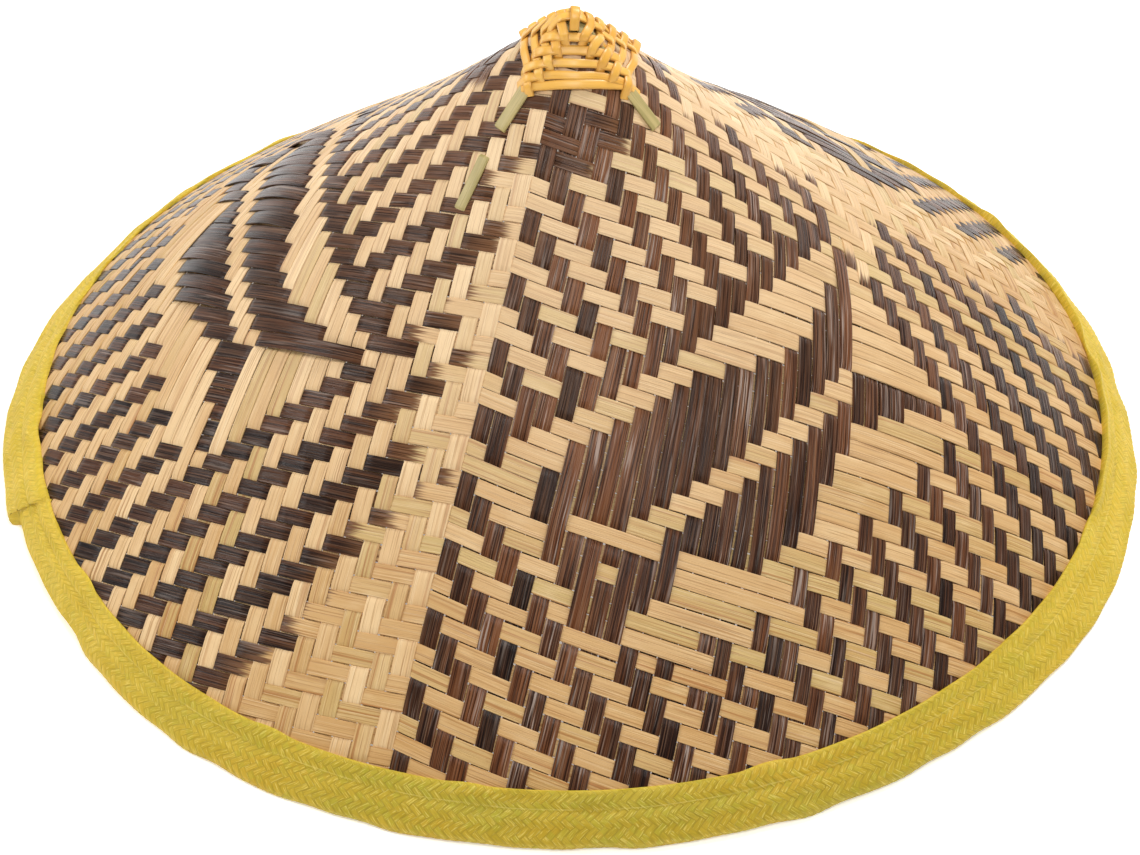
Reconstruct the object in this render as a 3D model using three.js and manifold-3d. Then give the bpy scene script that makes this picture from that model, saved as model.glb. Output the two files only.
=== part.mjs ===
// A plaited bamboo cone hat: a hollow crown, a straw binding folded over its edge,
// two flat strips crossed over the peak, and a small cap of cane wound round them.
// Millimetres, +Z up, with the origin on the surface it rests on, under the peak.
import * as THREE from "three";
import { mergeVertices } from "three/addons/utils/BufferGeometryUtils.js";
import Module from "manifold-3d";

const wasm = await Module();
wasm.setup();

// Crown: a cone whose flank is slightly hollow low down and steeper near its rounded tip.
const rimRadius = 210; // outside of the binding
const crownRise = 184; // height of the sharp cone over its own edge
const flankSag = -17; // how far the middle of the flank hangs below a straight line, times four
const flankLean = 64; // steepens the upper flank and eases the lower one
const tipRound = 7; // softens the point of the cone
const crownFoot = 1; // height of the flank's line where it reaches the rim radius
const crownWall = 1.6; // two splints with their crossings
const crownEdge = 205.6; // radius of the cut edge inside the binding
const fitGap = 0.3; // between pieces that touch

// Binding: a plaited straw tape folded over the edge, with one lapped end.
const tapeInner = 195.5; // radius of its upper edge on the flank
const tapeThickness = 1.5;
const tapeCrease = 0.5; // height of the two soft ridges beside its lengthwise crease
const tapeBevel = 0.4; // how far its two long edges lean
const foldRadius = 2.6;
const foldHeight = 2.35; // centre of the fold over the resting surface
const foldBlend = 1.5; // where the creased face passes into the fold, from the fold's centre
const lapEnd = 189; // azimuth of the lapped end, in degrees
const lapLength = 32; // degrees that the upper layer takes to come up to its full height
const lapHeight = 1.4;
const lapCut = 1.5; // degrees over which the end drops back

// Cross strips: two flat bamboo strips that run from the weave over the peak.
const stripWidth = 4.3;
const stripThickness = 1;
const peakOffset = new THREE.Vector2(1.5, -2); // where the strips cross, off the crown's axis
const crossingLift = 1.8; // height that the upper strip gains where it crosses the lower one
const peakReach = 9; // how far round the crossing the upper strip and the cap are lifted
const stripEnds = {
  frontLeft: new THREE.Vector2(-22.3, -24.6),
  frontRight: new THREE.Vector2(30.1, -22),
  backRight: new THREE.Vector2(28.4, 20.8),
  backLeft: new THREE.Vector2(-21.4, 23.4),
};

// Cap: courses of cane wound round the strips, each a four-sided ring on the flank.
const caneWidth = 3.2;
const caneThickness = 1.6;
const caneSeat = 0.5; // clearance over the strips, which are curved where they cross the peak
const caneTuck = 3.4; // how far each cane runs on past a strip
const caneBow = 0.1; // outward bow between two strips, as a share of the span
const capCorners = [
  new THREE.Vector2(-15, -15),
  new THREE.Vector2(17, -12.8),
  new THREE.Vector2(16.5, 13),
  new THREE.Vector2(-14, 15),
];
const capCourses = [1, 0.76, 0.55, 0.36, 0.17]; // size of each course as a share of the outermost
const capLift = 0.9; // extra height of the cap over its strips at the peak

// Fineness of the facets.
const roundSteps = 80;
const flankSteps = 12;
const flankCrowding = 1.25; // draws the rows of facets together towards the tip
const creaseSteps = 8;
const foldSteps = 4;
const stripSteps = 20;
const caneSteps = 5;

const colours = {
  bamboo: { color: 0x9c7a55, roughness: 0.6, metalness: 0 },
  straw: { color: 0xc4bc3c, roughness: 0.75, metalness: 0 },
  cane: { color: 0xe9b04a, roughness: 0.5, metalness: 0 },
  greenBamboo: { color: 0xa19a6b, roughness: 0.55, metalness: 0 },
};

// Height of the crown's outer face at a distance from the axis.
function flankHeight(radius) {
  const share = Math.hypot(radius, tipRound) / rimRadius;
  const bend = share * (1 - share) * (flankSag + flankLean * (share - 0.5));
  return crownFoot + crownRise * (1 - share) + bend;
}

// Unit normal of the crown's outer face in the plane through the axis: outward, then up.
function flankNormal(radius) {
  const step = 0.01;
  const fall = (flankHeight(radius) - flankHeight(radius + step)) / step;
  return new THREE.Vector2(fall, 1).normalize();
}

// A point of that plane, stood off the outer face by a distance along its normal.
function flankPoint(radius, standOff) {
  const normal = flankNormal(radius);
  return new THREE.Vector2(
    radius + standOff * normal.x,
    flankHeight(radius) + standOff * normal.y,
  );
}

// Evenly spaced values from first to last, both included.
function spread(first, last, steps) {
  return Array.from({ length: steps + 1 }, (_, i) => first + ((last - first) * i) / steps);
}

// A chain of sections with the same number of corners, joined side to side.
// A ring joins its last section to its first, and a strip is capped at both ends.
function skin(sections, isRing) {
  const corners = sections[0].length;
  const count = sections.length;
  const index = [];
  const at = (i, j) => (i % count) * corners + (j % corners);
  for (let i = 0; i < (isRing ? count : count - 1); i++) {
    for (let j = 0; j < corners; j++) {
      index.push(at(i, j), at(i + 1, j), at(i + 1, j + 1));
      index.push(at(i, j), at(i + 1, j + 1), at(i, j + 1));
    }
  }
  if (!isRing) {
    for (let j = 1; j < corners - 1; j++) {
      index.push(at(0, 0), at(0, j), at(0, j + 1));
      index.push(at(count - 1, 0), at(count - 1, j + 1), at(count - 1, j));
    }
  }
  const geometry = new THREE.BufferGeometry().setFromPoints(sections.flat());
  geometry.setIndex(index);
  geometry.computeVertexNormals();
  return geometry;
}

// The crown is turned: outer face down to the edge, then the inner face back to the axis.
function crownGeometry() {
  const radii = spread(0, 1, flankSteps).map((t) => crownEdge * t ** flankCrowding);
  const outer = radii.map((radius) => flankPoint(radius, 0));
  const inner = radii.map((radius) => flankPoint(radius, -crownWall)).reverse();
  outer[0].x = 0;
  inner[flankSteps].x = 0;
  const profile = [...outer, ...inner].reverse();
  return new THREE.LatheGeometry(profile, roundSteps).rotateX(Math.PI / 2);
}

// How much of the lapped end's height there is at an azimuth in degrees.
function lapShare(azimuth) {
  const before = lapEnd - azimuth;
  if (before < -lapCut || before > lapLength) return 0;
  if (before < 0) return 1 + before / lapCut;
  return 1 - before / lapLength;
}

// The binding's section at an azimuth: the outer leaf, the fold with its flat foot,
// the under leaf, and the slot that takes the crown's edge.
function bindingSection(azimuth) {
  const lap = lapShare(azimuth) * lapHeight;
  const outerFace = fitGap + tapeThickness;
  const underFace = -crownWall - fitGap - tapeThickness;
  const foldCentre = new THREE.Vector2(rimRadius - foldRadius, foldHeight);
  const slope = flankNormal(foldCentre.x).angle();
  const footAngle = Math.asin(foldHeight / foldRadius);
  const turn = (angle, reach) =>
    new THREE.Vector2(Math.cos(angle), Math.sin(angle)).multiplyScalar(reach).add(foldCentre);

  const outerLeaf = spread(0, 1, creaseSteps).map((t) => {
    const ridge = tapeCrease * Math.abs(Math.sin(2 * Math.PI * t));
    const radius = tapeInner + (foldCentre.x - foldBlend - tapeInner) * t;
    return flankPoint(radius, outerFace + ridge + lap);
  });
  const outerFold = spread(slope, -footAngle, foldSteps).map((angle, i) =>
    turn(angle, foldRadius + lap * (1 - i / foldSteps)),
  );
  const underFold = spread(footAngle - Math.PI, slope - Math.PI, 1).map((angle) =>
    turn(angle, foldRadius),
  );
  const underLeaf = [foldCentre.x - 2 * foldRadius, tapeInner + tapeBevel].map((radius) =>
    flankPoint(radius, underFace),
  );
  const slot = [
    flankPoint(tapeInner, -crownWall - fitGap),
    flankPoint(crownEdge + fitGap, -crownWall - fitGap),
    flankPoint(crownEdge + fitGap, fitGap),
    flankPoint(tapeInner - tapeBevel, fitGap),
  ];
  const outline = [...outerLeaf, ...outerFold, ...underFold, ...underLeaf, ...slot].reverse();
  const angle = THREE.MathUtils.degToRad(azimuth);
  return outline.map((p) => new THREE.Vector3(p.x * Math.cos(angle), p.x * Math.sin(angle), p.y));
}

function bindingGeometry() {
  const even = spread(0, 360, roundSteps).slice(0, -1);
  const atLap = [lapEnd - 0.1, lapEnd + lapCut];
  const azimuths = [...even.filter((a) => Math.abs(a - lapEnd) > 1), ...atLap];
  azimuths.sort((a, b) => a - b);
  return skin(azimuths.map(bindingSection), true);
}

// A flat strip laid along points of the crown: each is a plan position and a height
// of the strip's middle over the outer face. It tilts with the flank under it.
function laidStrip(points, width, thickness) {
  const spots = points.map(({ plan, standOff }) => {
    const radius = plan.length();
    const normal = flankNormal(radius);
    const outward = radius > 0 ? plan.clone().divideScalar(radius) : new THREE.Vector2();
    const up = new THREE.Vector3(outward.x * normal.x, outward.y * normal.x, normal.y);
    const foot = new THREE.Vector3(plan.x, plan.y, flankHeight(radius));
    return { middle: foot.addScaledVector(up, standOff), up };
  });
  const last = spots.length - 1;
  const sections = spots.map(({ middle, up }, i) => {
    const ahead = spots[Math.min(i + 1, last)].middle;
    const behind = spots[Math.max(i - 1, 0)].middle;
    const along = ahead.clone().sub(behind).normalize();
    const side = new THREE.Vector3().crossVectors(up, along).normalize();
    const face = new THREE.Vector3().crossVectors(along, side);
    const corner = (across, over) =>
      middle
        .clone()
        .addScaledVector(side, (across * width) / 2)
        .addScaledVector(face, (over * thickness) / 2);
    return [corner(-1, -1), corner(-1, 1), corner(1, 1), corner(1, -1)];
  });
  return skin(sections, false);
}

// A bamboo strip from one end on the flank, over the peak, to the opposite end.
function crossStrip(start, end, layer) {
  const seat = fitGap + stripThickness / 2;
  const points = spread(-1, 1, stripSteps).map((t) => {
    const far = t < 0 ? start : end;
    const plan = peakOffset.clone().lerp(far, Math.abs(t));
    const overlap = Math.exp(-((plan.distanceTo(peakOffset) / peakReach) ** 4));
    return { plan, standOff: seat + overlap * layer * crossingLift };
  });
  return laidStrip(points, stripWidth, stripThickness);
}

// One side of a course: it bows out between two strips and runs on a little past each.
function caneSide(from, to, size) {
  const start = from.clone().multiplyScalar(size);
  const span = to.clone().sub(from).multiplyScalar(size);
  const outward = new THREE.Vector2(span.y, -span.x);
  const tuck = Math.min(caneTuck / span.length(), 0.5);
  const points = spread(-tuck, 1 + tuck, caneSteps + 2).map((t) => {
    const bow = 4 * caneBow * t * (1 - t);
    const plan = start.clone().addScaledVector(span, t).addScaledVector(outward, bow);
    const overStrips = fitGap + stripThickness + caneSeat + caneThickness / 2;
    const peakShare = Math.exp(-((plan.length() / peakReach) ** 4));
    const standOff = overStrips + peakShare * (capLift + crossingLift);
    return { plan: plan.add(peakOffset), standOff };
  });
  return laidStrip(points, caneWidth, caneThickness);
}

function solidOf(geometry) {
  const bare = geometry.clone();
  bare.deleteAttribute("normal");
  bare.deleteAttribute("uv");
  const merged = mergeVertices(bare, 1e-4);
  return new wasm.Manifold(
    new wasm.Mesh({
      numProp: 3,
      vertProperties: merged.attributes.position.array,
      triVerts: new Uint32Array(merged.index.array),
    }),
  );
}

function geometryOf(solid) {
  const { numProp, vertProperties, triVerts } = solid.getMesh();
  if (numProp !== 3) throw new Error("the joined solid holds more than positions");
  const geometry = new THREE.BufferGeometry();
  geometry.setAttribute("position", new THREE.BufferAttribute(vertProperties, 3));
  geometry.setIndex(new THREE.BufferAttribute(triVerts, 1));
  geometry.computeVertexNormals();
  return geometry;
}

// The cap is one body: all its courses joined where they cross over the strips.
function capGeometry() {
  const sides = capCourses.flatMap((size) =>
    capCorners.map((corner, i) => caneSide(corner, capCorners[(i + 1) % 4], size)),
  );
  return geometryOf(sides.map(solidOf).reduce((joined, side) => joined.add(side)));
}

function piece(name, geometry, finish) {
  const mesh = new THREE.Mesh(geometry, new THREE.MeshStandardMaterial(finish));
  mesh.name = name;
  return mesh;
}

const hat = new THREE.Group();
const cap = new THREE.Group();
cap.add(
  piece("cross_strip_lower", crossStrip(stripEnds.frontLeft, stripEnds.backRight, 0), colours.greenBamboo),
  piece("cross_strip_upper", crossStrip(stripEnds.frontRight, stripEnds.backLeft, 1), colours.greenBamboo),
  piece("peak_cap", capGeometry(), colours.cane),
);
hat.add(
  piece("crown", crownGeometry(), colours.bamboo),
  piece("rim_binding", bindingGeometry(), colours.straw),
  cap,
);

export default hat;
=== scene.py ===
import math

import bpy
import numpy as np
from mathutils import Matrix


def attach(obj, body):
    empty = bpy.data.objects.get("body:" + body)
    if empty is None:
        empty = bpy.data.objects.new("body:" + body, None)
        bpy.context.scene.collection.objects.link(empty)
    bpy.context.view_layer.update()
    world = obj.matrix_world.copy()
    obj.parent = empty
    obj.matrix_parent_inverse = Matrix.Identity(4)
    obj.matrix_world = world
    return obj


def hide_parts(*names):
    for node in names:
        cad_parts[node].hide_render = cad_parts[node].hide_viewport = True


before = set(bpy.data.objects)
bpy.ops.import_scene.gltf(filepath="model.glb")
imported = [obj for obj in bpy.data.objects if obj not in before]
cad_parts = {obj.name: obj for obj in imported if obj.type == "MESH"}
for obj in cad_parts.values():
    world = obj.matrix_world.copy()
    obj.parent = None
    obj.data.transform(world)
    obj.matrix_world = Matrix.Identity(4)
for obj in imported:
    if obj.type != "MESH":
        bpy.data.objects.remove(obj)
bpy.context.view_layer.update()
millimetre = 0.001


# Shader maths

def paint(colour):
    # a screen colour as the linear one that shaders take
    linear = [((c / 255 + 0.055) / 1.055) ** 2.4 if c > 10 else c / 3294 for c in colour]
    return (*linear, 1)


def paints(colours):
    return {name: paint(colour) for name, colour in colours.items()}


class Field:
    # one socket of a material, so that maths on it reads as plain arithmetic
    def __init__(self, finish, socket):
        self.finish = finish
        self.socket = socket

    def math(self, operation, *others):
        values = dict(enumerate((self, *others)))
        return self.finish.node("ShaderNodeMath", {"operation": operation}, values)

    def __add__(self, other):
        return self.math("ADD", other)

    def __sub__(self, other):
        return self.math("SUBTRACT", other)

    def __rsub__(self, other):
        return self.finish.node("ShaderNodeMath", {"operation": "SUBTRACT"}, {0: other, 1: self})

    def __mul__(self, other):
        return self.math("MULTIPLY", other)

    def __lt__(self, other):
        return self.math("LESS_THAN", other)

    __radd__ = __add__
    __rmul__ = __mul__

    def floor(self):
        return self.math("FLOOR")

    def part(self):
        return self.math("FRACT")

    def size(self):
        return self.math("ABSOLUTE")

    def remainder(self, other):
        return self.math("FLOORED_MODULO", other)

    def ramp(self, low, high):
        # nought below low, one above high, and smooth between them
        limits = {"Value": self, "From Min": low, "From Max": high}
        return self.finish.node("ShaderNodeMapRange", {"interpolation_type": "SMOOTHSTEP"}, limits)


class Finish:
    def __init__(self, name, owner=None):
        self.material = owner or bpy.data.materials.new(name)
        self.material.use_nodes = True
        self.tree = self.material.node_tree
        self.tree.nodes.clear()

    def node(self, kind, settings=None, values=None, output=0):
        made = self.tree.nodes.new(kind)
        for setting, value in (settings or {}).items():
            setattr(made, setting, value)
        for socket, value in (values or {}).items():
            if isinstance(value, Field):
                self.tree.links.new(value.socket, made.inputs[socket])
            else:
                made.inputs[socket].default_value = value
        return Field(self, made.outputs[output]) if len(made.outputs) else None

    def attribute(self, name):
        return self.node("ShaderNodeAttribute", {"attribute_name": name}, output="Fac")

    def mapped(self, name):
        place = self.node("ShaderNodeUVMap", {"uv_map": name})
        return [self.node("ShaderNodeSeparateXYZ", None, {0: place}, axis) for axis in "XY"]

    def noise(self, x, y, z=0, detail=2.0, roughness=0.5):
        place = self.node("ShaderNodeCombineXYZ", None, {"X": x, "Y": y, "Z": z})
        values = {"Vector": place, "Scale": 1, "Detail": detail, "Roughness": roughness}
        return self.node("ShaderNodeTexNoise", None, values)

    def chance(self, x, y=0):
        place = self.node("ShaderNodeCombineXYZ", None, {"X": x, "Y": y})
        return self.node("ShaderNodeTexWhiteNoise", {"noise_dimensions": "2D"}, {"Vector": place})

    def blend(self, share, first, second, way="MIX"):
        settings = {"data_type": "RGBA", "blend_type": way}
        return self.node("ShaderNodeMix", settings, {0: share, 6: first, 7: second}, 2)

    def surface(self, values, height=None, depth=0, strength=1):
        if height is not None:
            relief = {"Height": height, "Distance": depth, "Strength": strength}
            values = {**values, "Normal": self.node("ShaderNodeBump", None, relief)}
        shader = self.node("ShaderNodeBsdfPrincipled", None, values)
        self.node("ShaderNodeOutputMaterial", None, {"Surface": shader})
        return self.material


# Finishes: screen colours, and what varies over each surface

bamboo = {
    "deepPale": (206, 164, 108),
    "lightPale": (240, 207, 158),
    "green": (190, 166, 98),
    "honey": (196, 146, 84),
    "cream": (236, 208, 160),
    "brownStreak": (166, 104, 52),
    "fibre": (164, 114, 62),
    "paleHair": (242, 218, 176),
    # painted light: the lightening that the pale splints take on near the peak
    "paintedTopSheen": (255, 232, 200),
    "black": (25, 14, 11),
    "brown": (78, 45, 28),
    "red": (120, 70, 38),
    # painted light: the lightening that the dark splints take on near the peak, not a fading
    "faded": (150, 104, 74),
    "worn": (128, 88, 58),
    "brownFibre": (134, 92, 62),
    "brownHair": (168, 134, 106),
    "blackFibre": (18, 9, 7),
    # painted highlight: pale sheen streaks on the dark splints
    "paintedSheen": (182, 162, 148),
}


def splintFinish():
    finish = Finish("bamboo_splints")
    ink = paints(bamboo)
    along, across = finish.mapped("grain")
    tone = finish.attribute("tone")
    warmth = finish.attribute("warmth")
    dyedBy = finish.attribute("dyed")
    fibres = finish.noise(along * 30, across * 2300, tone * 40, 2.0, 0.6)
    hairs = finish.noise(along * 16, across * 4300, tone * 90, 1.0)
    streaks = finish.noise(along * 9, across * 820, warmth * 30, 2.0)
    patches = finish.noise(along * 28, across * 130, tone * 17)
    blotches = finish.noise(along * 75, across * 240, warmth * 23, 3.0)
    glints = finish.noise(along * 42, across * 1500, tone * 61, 2.0)
    # painted light: splints drawn lighter the higher they lie toward the peak, standing in for the sheen
    # there
    spot = finish.node("ShaderNodeNewGeometry", None, None, "Position")
    high = finish.node("ShaderNodeSeparateXYZ", None, {0: spot}, "Z").ramp(0.02, 0.14)

    pale = finish.blend(tone, ink["deepPale"], ink["lightPale"])
    pale = finish.blend(warmth.ramp(0.55, 0.95) * (0.35 + streaks * 0.5), pale, ink["green"])
    pale = finish.blend(patches.ramp(0.4, 0.75) * 0.45, pale, ink["honey"])
    pale = finish.blend(blotches.ramp(0.5, 0.8) * 0.35, pale, ink["cream"])
    brown = streaks.ramp(0.54, 0.68) * warmth.ramp(0.1, 0.6) * 0.7
    pale = finish.blend(brown, pale, ink["brownStreak"])
    pale = finish.blend(fibres.ramp(0.52, 0.64) * 0.62, pale, ink["fibre"])
    pale = finish.blend((1 - hairs).ramp(0.56, 0.72) * 0.4, pale, ink["paleHair"])
    # painted light: pale splints lightened toward the top
    pale = finish.blend(high * 0.28, pale, ink["paintedTopSheen"])

    dark = finish.blend(tone, ink["black"], ink["brown"])
    red = (streaks * 1.3 + warmth * 0.4 + blotches * 0.5).ramp(0.95, 1.35)
    lively = 0.28 + tone * 0.72
    dark = finish.blend(red * lively * 0.85, dark, ink["red"])
    # painted light: dark splints lightened toward the top, a painted sheen rather than faded dye
    dark = finish.blend(high * high * (0.1 + blotches * 0.3), dark, ink["faded"])
    worn = (1 - dyedBy.ramp(0, 0.012)) * 0.75
    dark = finish.blend(worn, dark, ink["worn"])
    dark = finish.blend(fibres.ramp(0.52, 0.62) * lively * 0.6, dark, ink["brownFibre"])
    dark = finish.blend(hairs.ramp(0.58, 0.68) * lively * 0.55, dark, ink["brownHair"])
    dark = finish.blend((1 - fibres).ramp(0.5, 0.62) * 0.75, dark, ink["blackFibre"])
    # painted highlight: pale sheen streaks over the dark splints, in patches
    paintedSheenShare = glints.ramp(0.54, 0.66) * patches.ramp(0.42, 0.6) * lively * 0.75
    dark = finish.blend(paintedSheenShare, dark, ink["paintedSheen"])

    ragged = dyedBy + (fibres - 0.5) * 0.01 + (streaks - 0.5) * 0.007
    dyed = ragged.ramp(-0.002, 0.002)
    values = {
        "Base Color": finish.blend(dyed, pale, dark),
        "Roughness": 0.46 - dyed * 0.17 + (fibres - 0.5) * 0.3,
        "Specular IOR Level": 0.16,
    }
    return finish.surface(values, fibres * 0.7 + streaks * 0.7 + hairs * 0.35, 0.0003, 1.0)


straw = {
    "yellow": (207, 174, 38),
    "lightYellow": (221, 186, 54),
    "olive": (178, 150, 18),
    "ripe": (204, 158, 24),
    "unripe": (164, 158, 40),
    "strand": (214, 178, 56),
    "greenStrand": (176, 172, 44),
    "lightFibre": (238, 222, 120),
    "darkFibre": (164, 142, 22),
    # painted shade: the colour of the shaded gaps between strands
    "gap": (140, 118, 8),
    "crease": (236, 216, 120),
    "lip": (204, 176, 44),
}


def strawFinish():
    finish = Finish("plaited_straw")
    ink = paints(straw)
    u, v = finish.mapped("braid")
    drift = finish.noise(u * 0.11, v * 0.4, 3, 2.0) - 0.5
    first = u + v + drift * 1.1
    second = u - v + drift * 0.7
    above = (first.floor() - second.floor()).remainder(4) < 2
    strand = above * second.floor() + (1 - above) * (first.floor() + 500)
    side = above * second.part() + (1 - above) * first.part()
    run = above * first + (1 - above) * second
    own = finish.chance(strand)
    cell = finish.chance(first.floor(), second.floor())
    fibres = finish.noise(run * 0.7, side * 7, strand * 3.7, 2.0)
    patches = finish.noise(u * 0.16, v * 0.35, 0, 2.0)
    gap = ((side - 0.5).size() * 2).ramp(0.5, 1.05)
    ripe = finish.noise(u * 0.07, v * 0.22, 9, 2.0)

    crease = 1 - ((v - tape["creaseAt"]).size() - 0.03 + (patches - 0.5) * 0.3).ramp(0, 0.09)
    lip = 1 - (v - 0.2).ramp(0.35, 0.85)
    turn = u * (tape["stepsPerStrand"] / tape["stepsAround"])  # nought to one round the rim
    olive = 1 - (turn - tape["oliveAt"]).size().ramp(0.03, 0.2)

    colour = finish.blend(patches.ramp(0.35, 0.65), ink["yellow"], ink["lightYellow"])
    colour = finish.blend(olive * 0.75, colour, ink["olive"])
    colour = finish.blend(ripe.ramp(0.5, 0.66) * (0.15 + olive * 0.35), colour, ink["ripe"])
    colour = finish.blend((1 - ripe).ramp(0.5, 0.66) * olive * 0.4, colour, ink["unripe"])
    colour = finish.blend(own.ramp(0.3, 1) * 0.25, colour, ink["strand"])
    colour = finish.blend(cell.ramp(0.6, 0.95) * (0.15 + olive * 0.2), colour, ink["greenStrand"])
    colour = finish.blend(fibres.ramp(0.54, 0.68) * 0.5, colour, ink["lightFibre"])
    colour = finish.blend((1 - fibres).ramp(0.54, 0.7) * 0.5, colour, ink["darkFibre"])
    # painted shade: strands darker toward their edges, where the braid's gaps lie in shade
    colour = finish.blend(gap * (0.2 + olive * 0.24), colour, ink["gap"])
    colour = finish.blend(crease * patches.ramp(0.35, 0.6) * 0.4, colour, ink["crease"])
    colour = finish.blend(lip * 0.4, colour, ink["lip"])
    values = {
        "Base Color": colour,
        "Roughness": 0.62 + (fibres - 0.5) * 0.25,
        "Specular IOR Level": 0.4,
    }
    return finish.surface(values, fibres * 0.6 + patches * 0.6 - gap * 0.4, 0.00025, 0.9)


varnish = {
    "deep": (230, 168, 62),
    "light": (239, 186, 84),
    "amber": (222, 156, 44),
    "lightFibre": (242, 200, 112),
    "darkFibre": (176, 108, 28),
    # painted shade: the darker colour of the canes' rounded edges, turned from the light
    "edge": (168, 104, 30),
}


def caneFinish():
    finish = Finish("varnished_cane")
    ink = paints(varnish)
    along, across = finish.mapped("grain")
    tone = finish.attribute("tone")
    fibres = finish.noise(along * 45, across * 2400, tone * 30, 2.0)
    patches = finish.noise(along * 60, across * 200, tone * 9)
    paintedEdgeShade = finish.attribute("edge")
    colour = finish.blend(tone, ink["deep"], ink["light"])
    colour = finish.blend(patches.ramp(0.45, 0.75) * 0.5, colour, ink["amber"])
    colour = finish.blend(fibres.ramp(0.56, 0.8) * 0.3, colour, ink["lightFibre"])
    colour = finish.blend((1 - fibres).ramp(0.6, 0.8) * 0.35, colour, ink["darkFibre"])
    # painted shade: canes darker toward their long edges
    colour = finish.blend(paintedEdgeShade * 0.5, colour, ink["edge"])
    values = {
        "Base Color": colour,
        "Roughness": 0.42 + (fibres - 0.5) * 0.2,
        "Coat Weight": 0.25,
        "Coat Roughness": 0.3,
    }
    return finish.surface(values, fibres, 0.00012, 0.6)


skin = {
    "deep": (164, 148, 90),
    "light": (190, 170, 112),
    "fibre": (132, 118, 70),
}


def skinFinish():
    finish = Finish("green_bamboo_skin")
    ink = paints(skin)
    along, across = finish.mapped("grain")
    tone = finish.attribute("tone")
    fibres = finish.noise(along * 40, across * 2400, tone * 30, 2.0)
    patches = finish.noise(along * 40, across * 300, tone * 11)
    colour = finish.blend(patches.ramp(0.35, 0.65), ink["deep"], ink["light"])
    colour = finish.blend(fibres.ramp(0.5, 0.75) * 0.55, colour, ink["fibre"])
    values = {"Base Color": colour, "Roughness": 0.45 + (fibres - 0.5) * 0.2}
    return finish.surface(values, fibres, 0.00015, 0.7)


# The crown's outer face

# millimetres, as every length is up to the meshes
crown = {
    "rimRadius": 210,
    "rise": 184,
    "sag": -17,
    "lean": 64,
    "tipRound": 7,
    "foot": 1,
    "wall": 1.6,
    "edge": 205.6,
    "slantSteps": 4200,
}


def flankHeight(radius):
    share = np.hypot(radius, crown["tipRound"]) / crown["rimRadius"]
    bend = share * (1 - share) * (crown["sag"] + crown["lean"] * (share - 0.5))
    return crown["foot"] + crown["rise"] * (1 - share) + bend


def flankNormal(radius):
    step = 0.01
    fall = (flankHeight(radius) - flankHeight(radius + step)) / step
    length = np.hypot(fall, 1)
    return fall / length, 1 / length


slantRadii = np.linspace(0, crown["rimRadius"], crown["slantSteps"] + 1)
slantSteps = np.hypot(np.diff(slantRadii), np.diff(flankHeight(slantRadii)))
slantLengths = np.concatenate(([0], np.cumsum(slantSteps)))


def flankSpot(radius, azimuth, standOff):
    outward, upward = flankNormal(radius)
    reach = radius + standOff * outward
    height = flankHeight(radius) + standOff * upward
    return np.stack([reach * np.cos(azimuth), reach * np.sin(azimuth), height], axis=-1)


# Strips: each is a grid of points, section by section, closed round its girth

sheet = {
    "margin": 1.2,  # round each strip laid flat on the sheet that its colours are baked on
    "spare": 1.03,  # how much wider the sheet is than the strips need
    "endGap": 0.6,
    "grainStep": 3.1,  # how much faster the grain's start moves across than along
}


def stripPlaces(strips):
    # lays the strips out side by side in a square, each opened flat
    margin = sheet["margin"]
    sizes = [(s["along"][-1] - s["along"][0] + 2 * margin, s["girth"][-1] + margin) for s in strips]
    area = sum(length * girth for length, girth in sizes)
    side = max(max(length for length, girth in sizes), math.sqrt(area) * sheet["spare"])
    shelves = []  # each with the room left on it, how far up it starts and how deep it is
    places = [None] * len(strips)
    top = 0
    for k in sorted(range(len(strips)), key=lambda k: -sizes[k][0]):
        length, girth = sizes[k]
        shelf = next((s for s in shelves if s[0] >= length and s[2] >= girth), None)
        if shelf is None:
            shelf = [side, top, girth]
            shelves.append(shelf)
            top += girth
        places[k] = (side - shelf[0] + margin, shelf[1])
        shelf[0] -= length
    return places, max(side, top)


def unrolled(u, v):
    # for each face the places of its four corners on a sheet
    spread = np.stack([u, v], axis=-1)
    return np.stack([spread[:-1, :-1], spread[1:, :-1], spread[1:, 1:], spread[:-1, 1:]], axis=2)


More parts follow.
